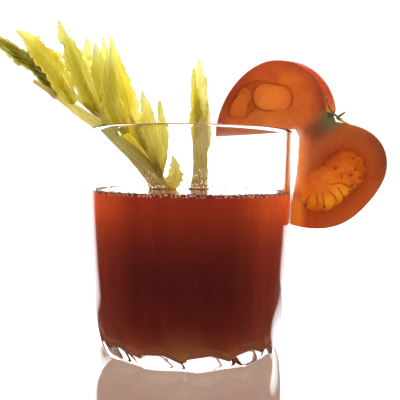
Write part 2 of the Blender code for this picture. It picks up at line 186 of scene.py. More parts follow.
# Stem stub, long dry sepal and short green one: x, y, z, radius
CALYX = (((58.6, -3.2, 94.0, 0.5), (59.6, -3.2, 94.8, 0.42), (60.8, -3.0, 95.6, 0.38),
          (62.2, -2.8, 96.6, 0.25)),
         ((59.4, -3.2, 94.6, 0.4), (57.2, -4.4, 95.7, 0.36), (55.3, -4.5, 98.4, 0.32),
          (54.2, -4.5, 101.4, 0.28), (53.2, -4.4, 104.8, 0.2)),
         ((59.4, -2.4, 94.2, 0.6), (61.4, -2.8, 92.9, 0.5), (63.8, -3.0, 91.8, 0.25)))


def paint(red, green, blue, light=1.0):
    """Linear colour that looks like these values of a paint chart in that light."""
    return tuple(min(0.98, ((v / 255 + 0.055) / 1.055) ** 2.4 / light)
                 for v in (red, green, blue))


def shell(red, green, blue, light=1.45):
    """Colour of each face of a thin piece that glows in this colour."""
    return tuple(math.sqrt(v) for v in paint(red, green, blue, light))


def tone(light, red, green, blue):
    """Colour of a face that looks like these values with that light behind it."""
    return tuple(min(0.98, v / share) for v, share in zip(paint(red, green, blue), light))


def flesh_tone(*values):
    return tone(FLESH_LIGHT, *values)


def gel_tone(*values):
    return tone(GEL_LIGHT, *values)


def juice_tone(*values):
    return paint(*values, JUICE_LIGHT)


def leaf_tone(*values):
    return shell(*values, LEAF_LIGHT)


# Materials

class Field:
    """A value or colour on its way through a material."""

    def __init__(self, look, socket):
        self.look = look
        self.socket = socket

    def __add__(self, other):
        return self.look.maths("ADD", self, other)

    def __sub__(self, other):
        return self.look.maths("SUBTRACT", self, other)

    def __rsub__(self, other):
        return self.look.maths("SUBTRACT", other, self)

    def __mul__(self, other):
        return self.look.maths("MULTIPLY", self, other)

    def __truediv__(self, other):
        return self.look.maths("DIVIDE", self, other)

    def __pow__(self, other):
        return self.look.maths("POWER", self, other)

    def __abs__(self):
        return self.look.maths("ABSOLUTE", self)

    __radd__ = __add__
    __rmul__ = __mul__

    def step(self, low, high):
        """0 below low and 1 above high, with a soft change between."""
        return self.look.node("MapRange", {"interpolation_type": "SMOOTHSTEP"},
                              {"Value": self, "From Min": low, "From Max": high})


class Look:
    """The nodes of one material, or of the world."""

    def __init__(self, owner):
        owner.use_nodes = True
        self.owner = owner
        self.tree = owner.node_tree
        self.tree.nodes.clear()

    def node(self, kind, settings=None, sockets=None, out=0):
        made = self.tree.nodes.new("ShaderNode" + kind)
        for name, value in (settings or {}).items():
            if name == "stops":
                stops = made.color_ramp.elements
                stops.remove(stops[-1])
                for index, (place, colour) in enumerate(value):
                    stop = stops.new(place) if index else stops[0]
                    stop.position = place
                    stop.color = (*colour, 1.0)
            else:
                setattr(made, name, value)
        for name, value in (sockets or {}).items():
            socket = made.inputs[name]
            if isinstance(value, Field):
                self.tree.links.new(value.socket, socket)
            elif socket.type == "RGBA":
                socket.default_value = (*value[:3], 1.0)
            else:
                socket.default_value = value
        return Field(self, made.outputs[out]) if made.outputs else None

    def maths(self, operation, *values):
        return self.node("Math", {"operation": operation}, dict(enumerate(values)))

    def mix(self, share, first, second, blend="MIX"):
        return self.node("Mix", {"data_type": "RGBA", "blend_type": blend},
                         {0: share, 6: first, 7: second}, 2)

    def coats(self, ink, colour, layers):
        """Lay colours over each other, each a share and the values for the ink."""
        for share, values in layers:
            over = values if isinstance(values, Field) else ink(*values)
            colour = self.mix(share, colour, over)
        return colour

    def ramp(self, share, stops):
        return self.node("ValToRGB", {"stops": stops}, {"Fac": share})

    def point(self, x, y, z=0.0):
        return self.node("CombineXYZ", None, {0: x, 1: y, 2: z})

    def place(self):
        """Object coordinates in millimetres: the vector and its three values."""
        metres = self.node("TexCoord", out="Object")
        vector = self.node("VectorMath", {"operation": "SCALE"},
                           {"Vector": metres, "Scale": 1.0 / MM})
        return [vector] + [self.node("SeparateXYZ", None, {0: vector}, out)
                           for out in range(3)]

    def along(self):
        """Both values of the piece's own UV map."""
        uv = self.node("UVMap", {"uv_map": "UVMap"})
        return [uv] + [self.node("SeparateXYZ", None, {0: uv}, out) for out in range(2)]

    def stretch(self, vector, x, y, z):
        return self.node("Mapping", None, {"Vector": vector, "Scale": (x, y, z)})

    def grain(self, vector, scale, detail=3.0, rough=0.5):
        return self.node("TexNoise", None, {"Vector": vector, "Scale": scale,
                                            "Detail": detail, "Roughness": rough})

    def bump(self, height, strength, distance=0.0002):
        return self.node("Bump", None, {"Height": height, "Strength": strength,
                                        "Distance": distance})

    def wear(self, shader):
        self.node("OutputMaterial", None, {"Surface": shader})
        return self.owner

    def glowing(self, colour, through, sockets, normal=None):
        """A wet surface that passes the light that falls on its far side."""
        face = self.mix(1.0, colour, colour, "MULTIPLY")
        skin, glow = dict(sockets, **{"Base Color": face}), {"Color": colour}
        if normal:
            skin["Normal"] = glow["Normal"] = normal
        return self.node("MixShader", None, {
            0: through, 1: self.node("BsdfPrincipled", None, skin),
            2: self.node("BsdfTranslucent", None, glow)})


def new_look(name):
    return Look(bpy.data.materials.new(name))


# Shapes

def finish(name, work, looks, nodes=(), sharp=35.0):
    """Scale the working mesh to metres and set the piece on the frame."""
    bmesh.ops.scale(work, vec=(MM, MM, MM), verts=work.verts)
    bmesh.ops.recalc_face_normals(work, faces=work.faces)
    work.normal_update()
    for edge in work.edges:
        if edge.is_manifold and edge.calc_face_angle() > math.radians(sharp):
            edge.smooth = False
    for face in work.faces:
        face.smooth = True
    mesh = bpy.data.meshes.new(name)
    work.to_mesh(mesh)
    work.free()
    for look in looks:
        mesh.materials.append(look)
    piece = bpy.data.objects.new(name, mesh)
    bpy.context.scene.collection.objects.link(piece)
    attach(piece, "root")
    if nodes:
        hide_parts(*nodes)
    return piece


def between(table, height):
    """Linear reading of a table of (height, radius)."""
    rows = sorted(table)
    if height <= rows[0][0]:
        return rows[0][1]
    for low, high in zip(rows, rows[1:]):
        if height <= high[0]:
            share = (height - low[0]) / (high[0] - low[0])
            return low[1] + share * (high[1] - low[1])
    return rows[-1][1]


def smooth_line(points, steps):
    """Catmull-Rom line through the points, any number of values each."""
    ends = [tuple(2 * a - b for a, b in zip(points[0], points[1]))]
    ends += list(points)
    ends.append(tuple(2 * a - b for a, b in zip(points[-1], points[-2])))
    line = []
    for index in range(steps + 1):
        place = index / steps * (len(points) - 1)
        span = min(int(place), len(points) - 2)
        t = place - span
        p0, p1, p2, p3 = ends[span:span + 4]
        line.append(tuple(
            0.5 * (2 * b + (c - a) * t + (2 * a - 5 * b + 4 * c - d) * t * t
                   + (3 * b - a - 3 * c + d) * t ** 3)
            for a, b, c, d in zip(p0, p1, p2, p3)))
    return line


def spin(work, profile, steps):
    """Turn a profile of (radius, height) once round the upright axis."""
    verts = [work.verts.new((radius, 0.0, height)) for radius, height in profile]
    edges = [work.edges.new(pair) for pair in zip(verts, verts[1:])]
    bmesh.ops.spin(work, geom=verts + edges, cent=(0, 0, 0), axis=(0, 0, 1),
                   angle=2 * math.pi, steps=steps, use_merge=True)
    bmesh.ops.remove_doubles(work, verts=work.verts, dist=0.001)


def flute_place(vert, flutes):
    """Where a point stands in its flute, from 0 at one ridge to 1 at the next."""
    column = round(math.atan2(vert.co.y, vert.co.x) * flutes * RIDGE_STEPS / (2 * math.pi))
    return column % RIDGE_STEPS / RIDGE_STEPS


def only(kind, parts):
    return [part for part in parts if isinstance(part, kind)]


def sweep(work, spine, steps, sides, section=lambda turn, reach: 1.0, flat=1.0):
    """Extrude a ring along (x, y, z, radius) and close both ends; the points keep their turn and
    their reach along the line, from which lay_uv makes a UV map."""
    turns = work.verts.layers.float.get("turn") or work.verts.layers.float.new("turn")
    reaches = work.verts.layers.float.get("reach") or work.verts.layers.float.new("reach")
    line = smooth_line(spine, steps)
    ring = bmesh.ops.create_circle(work, cap_ends=True, segments=sides, radius=1.0)["verts"]
    for vert in ring:
        vert[turns] = math.atan2(vert.co.y, vert.co.x) / (2 * math.pi) % 1.0
    edges = list({edge for vert in ring for edge in vert.link_edges})
    run = 0.0
    for index, (x, y, z, radius) in enumerate(line):
        if index:
            grown = bmesh.ops.extrude_edge_only(work, edges=edges)["geom"]
            ring = only(bmesh.types.BMVert, grown)
            held = set(ring)
            edges = [edge for edge in only(bmesh.types.BMEdge, grown)
                     if held.issuperset(edge.verts)]
            run += (Vector((x, y, z)) - Vector(line[index - 1][:3])).length
        before = Vector(line[max(index - 1, 0)][:3])
        after = Vector(line[min(index + 1, steps)][:3])
        along = (after - before).normalized()
        across = along.cross(Vector((0.0, 1.0, 0.0))).normalized()
        depth = across.cross(along).normalized()
        for vert in ring:
            angle = 2 * math.pi * vert[turns]
            offset = across * math.cos(angle) + depth * math.sin(angle) * flat
            vert[reaches] = run
            vert.co = Vector((x, y, z)) + offset * radius * section(vert[turns], run)
    bmesh.ops.edgeloop_fill(work, edges=edges)


def lay_uv(work):
    """UV map from the turn and reach that sweep leaves on the points."""
    turns, reaches = (work.verts.layers.float[name] for name in ("turn", "reach"))
    uv = work.loops.layers.uv.new("UVMap")
    for face in work.faces:
        seam = max(v[turns] for v in face.verts) > 0.75 and len(face.verts) == 4
        for loop in face.loops:
            turn = loop.vert[turns]
            loop[uv].uv = (turn + (seam and turn < 0.25), loop.vert[reaches])


# Tumbler

class TumblerSettings(bpy.types.PropertyGroup):
    flutes: IntProperty(name="Flutes", description="Number of swirled flutes round the foot",
                        default=FLUTES, min=3, max=24)
    flute_depth: FloatProperty(name="Flute Depth", description="Deepest cut of a flute",
                               default=0.0015, min=0.0, max=0.003, unit="LENGTH")
    flute_twist: FloatProperty(name="Flute Twist", default=0.62, unit="ROTATION",
                               description="Turn of a flute from its top to the foot")
    tint: FloatVectorProperty(name="Tint", description="Colour of the clear wall",
                              default=(0.975, 0.985, 0.98), size=3, subtype="COLOR",
                              min=0.0, max=1.0)


class TUMBLER_OT_add(bpy.types.Operator):
    """Add the glass tumbler with its swirled foot"""
    bl_idname = "mesh.juice_tumbler_add"
    bl_label = "Tumbler"

    def execute(self, context):
        settings = context.scene.tumbler_settings
        work = bmesh.new()
        profile = [(0.0, 0.0), (18.0, 0.0), (31.0, 0.0), (34.6, 0.0)]
        profile += [(radius, height) for height, radius in smooth_line(OUTER, OUTER_STEPS)]
        for turn in range(10, 180, 10):
            bend = math.radians(turn)
            profile.append((RIM_RADIUS - LIP + LIP * math.cos(bend),
                            GLASS_HEIGHT - LIP + LIP * math.sin(bend)))
        profile += [(radius, height) for height, radius in smooth_line(HOLLOW, HOLLOW_STEPS)]
        profile += [(25.0, BASE_THICKNESS + 0.05), (14.0, BASE_THICKNESS),
                    (0.0, BASE_THICKNESS)]
        spin(work, profile, settings.flutes * RIDGE_STEPS)
        self.cut_flutes(work, settings)
        finish("tumbler", work, [self.clear_glass(settings)], ["glass"], 50.0)
        return {"FINISHED"}

    def cut_flutes(self, work, settings):
        """Sink the scoops between the ridges and swirl them towards the foot."""
        place = work.verts.layers.float.new("place")
        for vert in work.verts:
            height, radius = vert.co.z, vert.co.xy.length
            vert[place] = -1.0
            if height > FLUTE_TOP or radius < 33.0 or (
                    height > BASE_THICKNESS and radius < between(HOLLOW, height) + 0.5):
                continue
            share = 1.0 - height / FLUTE_TOP
            angle = math.atan2(vert.co.y, vert.co.x)
            vert[place] = flute_place(vert, settings.flutes)
            scoop = 4.0 * vert[place] ** 1.4 * (1.0 - vert[place] ** 1.4)
            radius -= settings.flute_depth / MM * min(1.0, share ** 1.8 * 1.35) * scoop
            angle += settings.flute_twist * share ** 1.4
            vert.co.x, vert.co.y = radius * math.cos(angle), radius * math.sin(angle)
        for edge in work.edges:
            if all(v[place] == 0.0 and v.co.z < FLUTE_TOP - 6.0 for v in edge.verts):
                edge.smooth = False

    def clear_glass(self, settings):
        look = new_look("clear_glass")
        vector, _, _, z = look.place()
        wave = look.grain(look.stretch(vector, 1.0, 1.0, 0.4), 0.06, 1.0)
        # painted shade: the top of the lip is tinted brown to paint the dark line along the rim
        edge = z.step(GLASS_HEIGHT - 0.5, GLASS_HEIGHT - 0.25)
        colour = look.mix(edge * 0.7, tuple(settings.tint), (0.36, 0.24, 0.18))
        glass = look.node("BsdfPrincipled", None, {
            "Base Color": colour, "Roughness": 0.0, "IOR": 1.5,
            "Transmission Weight": 1.0, "Normal": look.bump(wave, 0.25, 0.0006)})
        return look.wear(glass)


# Juice

class JuiceSettings(bpy.types.PropertyGroup):
    level: FloatProperty(name="Level", description="Height of the juice above the table",
                         default=0.064, min=0.02, max=0.08, unit="LENGTH")
    # upper, deep and glow hold painted light: the juice is painted bright just under the level,
    # dark lower down and bright at the sides where the backlight shines in
    upper: FloatVectorProperty(name="Upper Colour", description="Colour just under the level",
                               default=juice_tone(146, 48, 27), size=3, subtype="COLOR",
                               min=0.0, max=1.0)
    deep: FloatVectorProperty(name="Deep Colour", description="Colour in the lower half",
                              default=juice_tone(82, 25, 20), size=3, subtype="COLOR",
                              min=0.0, max=1.0)
    glow: FloatVectorProperty(name="Edge Colour", description="Colour where light shines in",
                              default=juice_tone(234, 96, 43), size=3, subtype="COLOR",
                              min=0.0, max=1.0)
    froth: IntProperty(name="Froth", description="Bubbles along the edge of the juice",
                       default=620, min=0, max=2000)
    seed: IntProperty(name="Seed", description="Another scatter of the bubbles", default=5)


class JUICE_OT_add(bpy.types.Operator):
    """Add the tomato juice, which reaches just into the wall of the tumbler"""
    bl_idname = "mesh.tomato_juice_add"
    bl_label = "Juice"

    def execute(self, context):
        settings = context.scene.juice_settings
        level = settings.level / MM
        work = bmesh.new()
        profile = [(0.0, BASE_THICKNESS - 0.2), (16.0, BASE_THICKNESS - 0.15)]
        profile += [(radius + WALL_REACH, height - 0.15)
                    for height, radius in reversed(smooth_line(HOLLOW, HOLLOW_STEPS))
                    if height < level - 0.6]
        wall = between(HOLLOW, level) + WALL_REACH
        # the juice climbs a little where it meets the wall
        profile += [(wall, level), (wall, level + 0.2), (wall - 0.6, level + 0.05),
                    (wall - 1.4, level)]
        profile += [(reach, level) for reach in (30.0, 22.0, 14.0, 7.0, 0.0)]
        spin(work, profile, FLUTES * RIDGE_STEPS)
        # the flutes bend the foot of the juice into facets
        for vert in work.verts:
            near = max(0.0, 1.0 - max(0.0, vert.co.z - BASE_THICKNESS) / FACET_HEIGHT)
            near *= min(1.0, max(0.0, (vert.co.xy.length - FACET_START) / 10.0))
            share = flute_place(vert, FLUTES)
            vert.co.z += near * (-1.3 + 2.4 * share if share < 0.5 else 2.6 - 5.4 * share)
        bmesh.ops.recalc_face_normals(work, faces=work.faces)
        work.normal_update()
        for face in work.faces:
            face.material_index = int(face.normal.z < -0.6)
        finish("juice_body", work, [self.tomato_juice(settings), self.underside()],
               ["juice"], 60.0)
        return {"FINISHED"}

    def tomato_juice(self, settings):
        look = new_look("tomato_juice")
        vector, x, y, z = look.place()
        level = settings.level / MM
        depth = (level - z) / (level - BASE_THICKNESS)
        upper, deep, glow = (Vector(c) for c in (settings.upper, settings.deep, settings.glow))
        dusk, foot = Vector(juice_tone(136, 48, 33)), juice_tone(128, 68, 44)
        # painted light: the ramps make the juice bright just under the level, where the backlight
        # shines through, and dark lower down, with a lighter brown at the foot
        middle = look.ramp(depth, [(0.0, upper)] + [
            (place, upper.lerp(deep, share)) for place, share in (
                (0.11, 0.08), (0.2, 0.4), (0.32, 0.75), (0.44, 0.96), (0.6, 1.0), (0.8, 0.85))]
            + [(0.9, juice_tone(108, 42, 29)), (0.96, juice_tone(120, 60, 38)), (1.0, foot)])
        edge = look.ramp(depth, [(0.0, glow)] + [
            (place, glow.lerp(dusk, share)) for place, share in (
                (0.11, 0.1), (0.2, 0.5), (0.32, 0.83), (0.55, 1.0))]
            + [(0.8, juice_tone(126, 56, 42)), (1.0, foot)])
        # painted light: towards both sides, most on the +X side, the juice takes the brighter
        # edge ramp, where the backlight shines in
        side = look.maths("MAXIMUM", x.step(12.0, 39.0), (0.0 - x).step(17.0, 38.0) * 0.85)
        colour = look.mix(side, middle, edge)
        # painted light: a lighter amber patch at the bottom middle, where the light of the clear
        # foot comes in
        amber = spots(look, x, z, (-1.0, 4.0, 3.0, 14.0))
        colour = look.mix(amber * 0.75, colour, juice_tone(140, 100, 62))
        pulp = look.grain(look.stretch(vector, 1.0, 1.0, 0.6), 0.7, 6.0, 0.65)
        streak = look.grain(look.stretch(vector, 1.0, 1.0, 0.03), 0.22, 2.0)
        thread = look.grain(look.stretch(vector, 1.0, 1.0, 0.01), 0.9, 1.0).step(0.6, 0.7)
        shade = (pulp - 0.5) * 0.3 + (streak - 0.5) * 0.4 + thread * 0.12 + 1.0
        colour = look.mix(1.0, colour, look.point(shade, shade, shade), "MULTIPLY")
        speck = look.grain(vector, 1.3, 2.0)
        rim = ((x * x + y * y) ** 0.5).step(34.6, 36.0)
        line = (z + speck * 1.2).step(level - 0.5, level) * rim * 0.9
        foam = look.mix(speck.step(0.5, 0.62), juice_tone(92, 44, 36), juice_tone(206, 160, 140))
        colour = look.mix(line, colour, foam)
        juice = look.node("BsdfPrincipled", None, {
            "Base Color": colour, "Roughness": 0.06, "IOR": 1.36,
            "Normal": look.bump(pulp, 0.1)})
        return look.wear(juice)

    def underside(self):
        """Painted light: the pale glow of the thick clear foot on the bottom of the juice, as
        colour and emission.
        """
        look = new_look("juice_underside")
        vector, x, y, _ = look.place()
        cloud = look.grain(vector, 0.1, 2.0)
        pale = look.mix(cloud.step(0.3, 0.7), (0.96, 0.95, 0.95), (0.92, 0.9, 0.89))
        middle = ((x * x + y * y) ** 0.5).step(27.0, 22.0)
        colour = look.mix(middle, juice_tone(128, 68, 44), pale)
        light = look.mix(middle, (0.0, 0.0, 0.0), pale)
        return look.wear(look.node("BsdfPrincipled", None, {
            "Base Color": colour, "Roughness": 0.5, "Emission Color": light,
            "Emission Strength": 0.62}))


class FROTH_OT_add(bpy.types.Operator):
    """Add the froth along the juice and the bubbles that cling to the stalks"""
    bl_idname = "mesh.juice_froth_add"
    bl_label = "Froth and Bubbles"

    def execute(self, context):
        settings = context.scene.juice_settings
        level = settings.level / MM
        chance = random.Random(settings.seed)
        work = bmesh.new()
        self.froth_at_wall(work, chance, level, settings.froth)
        for spine, amount in ((STALK_MAIN, 60), (STALK_SMALL, 44)):
            self.froth_at_stalk(work, chance, level, spine, amount)
        finish("juice_froth", work, [self.bubble_skin(
            "froth_skin", (190, 140, 122), (96, 44, 36))])
        work = bmesh.new()
        for spine, amount in ((STALK_MAIN, 260), (STALK_SMALL, 190)):
            self.climb(work, chance, level, spine, amount)
        # painted highlight: the stalk bubbles are pale and emit a painted glint
        finish("stalk_bubbles", work, [self.bubble_skin(
            "bubble_skin", (255, 246, 214), (150, 104, 62), 0.5)])
        return {"FINISHED"}

    def froth_at_wall(self, work, chance, level, amount):
        """A broken line of bubbles at the wall, thinner on the far side."""
        wall = between(HOLLOW, level)
        for _ in range(amount):
            angle = chance.uniform(0.0, 2 * math.pi)
            size = chance.uniform(0.14, 0.36)
            if noise.noise((3.0 * math.cos(angle), 3.0 * math.sin(angle), 0.3)) < -0.12:
                size *= 0.6
            far_side = math.sin(angle) > 0.2
            if far_side and chance.random() < 0.75:
                continue
            reach = wall - size * 0.7 - chance.random() ** 3 * 1.6
            height = level + chance.uniform(-0.2, 0.3)
            self.bubble(work, (0.0, 0.0), angle, reach, height, size)

    def froth_at_stalk(self, work, chance, level, spine, amount):
        """A collar of bubbles where a stalk comes out of the juice."""
        x, y, radius = self.at_height(spine, level)
        for _ in range(amount):
            angle = chance.uniform(0.0, 2 * math.pi)
            size = chance.uniform(0.16, 0.34)
            reach = radius + size * 0.5 + chance.random() ** 2 * 1.2
            height = level + chance.uniform(0.0, 0.3)
            self.bubble(work, (x, y), angle, reach, height, size)

    def climb(self, work, chance, level, spine, amount):
        """Bubbles that cling to a stalk, fewer the higher they are."""
        for _ in range(amount):
            height = level + 0.4 + chance.random() ** 1.5 * BUBBLE_CLIMB
            x, y, radius = self.at_height(spine, height)
            angle = chance.uniform(0.0, 2 * math.pi)
            size = chance.uniform(0.16, 0.4)
            self.bubble(work, (x, y), angle, radius + size * 0.3, height, size)

    def at_height(self, spine, height):
        """Middle and radius of a stalk at this height."""
        for low, high in zip(spine, spine[1:]):
            if low[2] <= height <= high[2]:
                share = (height - low[2]) / (high[2] - low[2])
                return [low[i] + share * (high[i] - low[i]) for i in (0, 1, 3)]
        raise RuntimeError("the juice level lies outside the stalk")

    def bubble(self, work, middle, angle, reach, height, size):
        """Copy the first ball to its place round the middle of a wall or stalk."""
        ball = bpy.data.meshes.get("bubble") or bpy.data.meshes.new("bubble")
        if not ball.vertices:
            first = bmesh.new()
            bmesh.ops.create_uvsphere(first, u_segments=8, v_segments=5, radius=1.0)
            first.to_mesh(ball)
            first.free()
        place = (middle[0] + reach * math.cos(angle), middle[1] + reach * math.sin(angle),
                 height)
        there = Matrix.Translation(place) @ Matrix.Scale(size, 4)
        ball.transform(there)
        work.from_mesh(ball)
        ball.transform(there.inverted())

    def bubble_skin(self, name, light, dark, glint=0.0):
        """Thin wet skin; glint is the strength of a painted glint, an emitted glow that stands in
        for the light that it gathers from behind.
        """
        look = new_look(name)
        vector = look.place()[0]
        patch = look.grain(vector, 1.6, 1.0).step(0.44, 0.56)
        colour = look.mix(patch, paint(*light), paint(*dark))
        skin = look.node("BsdfPrincipled", None, {
            "Base Color": colour, "Roughness": 0.08, "IOR": 1.33, "Transmission Weight": 0.3,
            "Emission Color": look.mix(patch, paint(*light), paint(30, 16, 8)),
            "Emission Strength": glint})
        return look.wear(skin)


# Celery

class CelerySettings(bpy.types.PropertyGroup):
    leaf_thickness: FloatProperty(name="Leaf Thickness", description="Thickness of a leaf",
                                  default=0.00035, min=0.0001, max=0.001, unit="LENGTH")
    rib_depth: FloatProperty(name="Rib Depth", default=0.05, min=0.0, max=0.2,
                             description="Depth of the stalk's ribs as a share of its radius",
                             subtype="FACTOR")
    leaf_light: FloatProperty(name="Light Through Leaves", default=0.92, min=0.0, max=1.0,
                              description="Share of the light that passes a leaf's face",
                              subtype="FACTOR")


def leaf_stalk_look():
    """Ribbed stalk, green outside and browner where it stands in the juice."""
    look = new_look("celery_stalk")
    vector, x, _, z = look.place()
    uv = look.along()[0]
    rib = look.grain(look.stretch(uv, 26.0, 0.12, 1.0), 1.0, 3.0)
    fleck = look.grain(vector, 0.8, 4.0, 0.6)
    colour = look.ramp((z - 60.0) / 52.0, (
        (0.0, shell(178, 130, 80, 0.66)), (0.09, shell(180, 148, 86, 0.7)),
        (0.2, shell(176, 168, 98, 0.7)), (0.5, shell(172, 168, 102, 0.62)),
        (0.62, shell(212, 206, 120, 0.85)), (1.0, shell(214, 206, 104, 0.85))))
    # painted light: the small stalk is painted pale where it stands in the glass above the juice
    near = x.step(-5.0, 2.0) * z.step(75.0, 86.0)
    colour = look.mix(near * 0.95, colour, leaf_tone(242, 230, 166))
    # painted light: the large stalk is painted paler where it nears the rim inside the glass, by
    # its left wall
    painted_light_by_wall = x.step(-27.0, -34.0) * z.step(92.0, 87.0)
    colour = look.mix(painted_light_by_wall * 0.7, colour, shell(222, 222, 172, 0.85))
    colour = look.mix(rib.step(0.35, 0.7) * (0.6 - near * 0.45), colour,
                      shell(122, 112, 54, 0.7))
    colour = look.mix(fleck.step(0.5, 0.8) * 0.4, colour, shell(240, 236, 160, 1.1))
    ridge = look.bump(rib, 0.5, 0.0004)
    return look.wear(look.glowing(colour, 0.62, {"Roughness": 0.32, "IOR": 1.4}, ridge))


def leaf_look(through):
    """Thin leaf with a pale midrib, side veins and a fine net between them."""
    look = new_look("celery_leaf")
    uv, across, along = look.along()
    tint = look.node("Attribute", {"attribute_name": "tint"}, None, "Color")
    bend = look.grain(look.stretch(uv, 2.0, 3.0, 1.0), 1.0, 2.0)
    side = abs(across)
    midrib = 1.0 - side.step(0.015, 0.07)
    fan = look.maths("PINGPONG", along * 9.0 - side * 2.2 + bend * 1.2, 0.5)
    veins = 1.0 - fan.step(0.02, 0.12)
    cells = look.node("TexVoronoi", {"feature": "DISTANCE_TO_EDGE"},
                      {"Vector": look.stretch(uv, 5.0, 22.0, 1.0), "Scale": 1.0})
    net = 1.0 - cells.step(0.0, 0.12)
    x = look.place()[1]
    # partly real and partly painted: streaks along the leaf are its light veins and darker blade,
    # and with the blotches they also paint the shade of folds and of leaves lying over it
    streak = look.grain(look.point(across * 3.2, along * 1.6, x * 0.07), 1.0, 4.0, 0.6)
    painted_fold_shade = look.grain(look.stretch(uv, 1.6, 5.0, 1.0), 1.0, 4.0, 0.6)
    colour = look.mix(painted_fold_shade.step(0.4, 0.75) * 0.3, tint, (0.84, 0.8, 0.6), "MULTIPLY")
    colour = look.mix(streak.step(0.5, 0.3) * 0.8, colour, (0.8, 0.8, 0.6), "MULTIPLY")
    colour = look.mix(streak.step(0.52, 0.68) * 0.6, colour, leaf_tone(248, 244, 160))
    # painted shade: the middle of the lower leaf is darker
    core = side.step(0.65, 0.1) * along.step(0.85, 0.55)
    colour = look.mix(core * 0.25, colour, (0.74, 0.74, 0.5), "MULTIPLY")
    colour = look.coats(leaf_tone, colour, (
        (side.step(0.5, 1.0) * 0.5, (246, 244, 118)),
        (along.step(0.7, 1.0) * 0.6, (238, 246, 168)),
        (net * 0.14, (150, 130, 30)),
        (veins * 0.3, (250, 244, 150)),
        (midrib * 0.4, (176, 158, 70))))
    ridge = look.bump(veins * 0.5 + midrib + net * 0.2, 0.5, 0.0003)
    return look.wear(look.glowing(colour, through, {"Roughness": 0.42, "IOR": 1.4}, ridge))


def leaf_width(half_width, tilt, teeth, v, t):
    """Half width of a leaf at t of its length and v across, from -1 to 1: the
    leaf's own swell, then its lobes, its small teeth and its torn edge."""
    swell = math.sin(math.pi * min(1.0, 0.06 + 0.93 * t ** 0.9)) ** 0.8
    shift = 0.45 if v < 0 else 0.0
    lobe = 1.0 + 0.1 * math.sin(2 * math.pi * (0.5 * teeth * t + shift)) * min(1.0, 2 * t)
    notch = 1.0 - (0.08 + 0.26 * t) * ((2.5 * teeth * t + shift) % 1.0)
    torn = 0.3 * noise.noise((t * 7.0 + half_width, 3.0 * (v > 0), tilt)) * min(1.0, 3 * t)
    torn += 0.16 * noise.noise((t * 19.0, 5.0 * (v > 0), tilt)) * min(1.0, 3 * t)
    edge = 1.0 + (notch - 1.0 + torn) * abs(v) ** 3
    return max(0.12, half_width * swell * lobe * edge)


def unroll(work, leaf):
    """Lay a fine grid along a leaf's centre line, folded and waved about it."""
    spine, half_width, tilt, fold, teeth, foot, tip = leaf
    uv = work.loops.layers.uv.get("UVMap") or work.loops.layers.uv.new("UVMap")
    tints = work.verts.layers.float_color.get("tint") or work.verts.layers.float_color.new("tint")
    lean, steps = math.radians(tilt), LEAF_STEPS
    grid = bmesh.ops.create_grid(work, x_segments=LEAF_COLUMNS, y_segments=steps,
                                 size=1.0)["verts"]
    for face in {face for vert in grid for face in vert.link_faces}:
        for loop in face.loops:
            loop[uv].uv = (loop.vert.co.x, loop.vert.co.y / 2 + 0.5)
    line = [Vector(point) for point in smooth_line(spine, steps)]
    foot, tip = Vector(leaf_tone(*foot)), Vector(leaf_tone(*tip))
    for vert in grid:
        v, t = vert.co.x, vert.co.y / 2 + 0.5
        index = min(steps, max(0, round(t * steps)))
        along = (line[min(index + 1, steps)] - line[max(index - 1, 0)]).normalized()
        side = along.cross(Vector((0.0, 1.0, 0.0))).normalized()
        depth = side.cross(along).normalized()
        across = side * math.cos(lean) + depth * math.sin(lean)
        up = along.cross(across).normalized()
        width = leaf_width(half_width, tilt, teeth, v, t)
        rise = fold * abs(v) * width + 0.35 * v * math.sin(7.0 * t + 2.0 * v)
        rise += 0.5 * v * v * math.sin(13.0 * t + 3.0 * v + half_width)
        reach = 0.22 * t * width * v * v
        vert.co = line[index] + across * (v * width) + up * rise + along * reach
        shade = 0.5 * noise.noise(vert.co * 0.14) + t
        vert[tints] = (*foot.lerp(tip, min(1.0, max(0.0, shade))), 1.0)


def add_sprig(settings, name, node, stalks, leaves):
    """Ribbed stalks as one piece and their leaves as another."""
    work = bmesh.new()
    for spine, sides in stalks:
        sweep(work, spine, STALK_STEPS * (len(spine) - 1), sides,
              lambda turn, reach: 1.0 + settings.rib_depth * (
                  math.cos(14 * math.pi * turn) + 0.4 * math.sin(0.9 * reach + 6 * turn)))
    lay_uv(work)
    finish(f"{name}_stalk", work, [leaf_stalk_look()], [node], 60.0)
    work = bmesh.new()
    for leaf in leaves:
        unroll(work, leaf)
    bmesh.ops.solidify(work, geom=work.faces[:], thickness=settings.leaf_thickness / MM)
    finish(f"{name}_leaves", work, [leaf_look(settings.leaf_light)], [node], 60.0)


class LARGE_SPRIG_OT_add(bpy.types.Operator):
    """Add the large celery sprig that leans over the rim"""
    bl_idname = "mesh.celery_large_add"
    bl_label = "Large Celery Sprig"

    def execute(self, context):
        add_sprig(context.scene.celery_settings, "celery_large_sprig", "celery_large",
                  ((STALK_MAIN, 56), (STALK_SECOND, 20), (STALK_THIRD, 16)), LEAVES_LARGE)
        return {"FINISHED"}


class SMALL_SPRIG_OT_add(bpy.types.Operator):
    """Add the small upright celery sprig"""
    bl_idname = "mesh.celery_small_add"
    bl_label = "Small Celery Sprig"

    def execute(self, context):
        add_sprig(context.scene.celery_settings, "celery_small_sprig", "celery_small",
                  ((STALK_SMALL, 48),), LEAVES_SMALL)
        return {"FINISHED"}


# Tomato

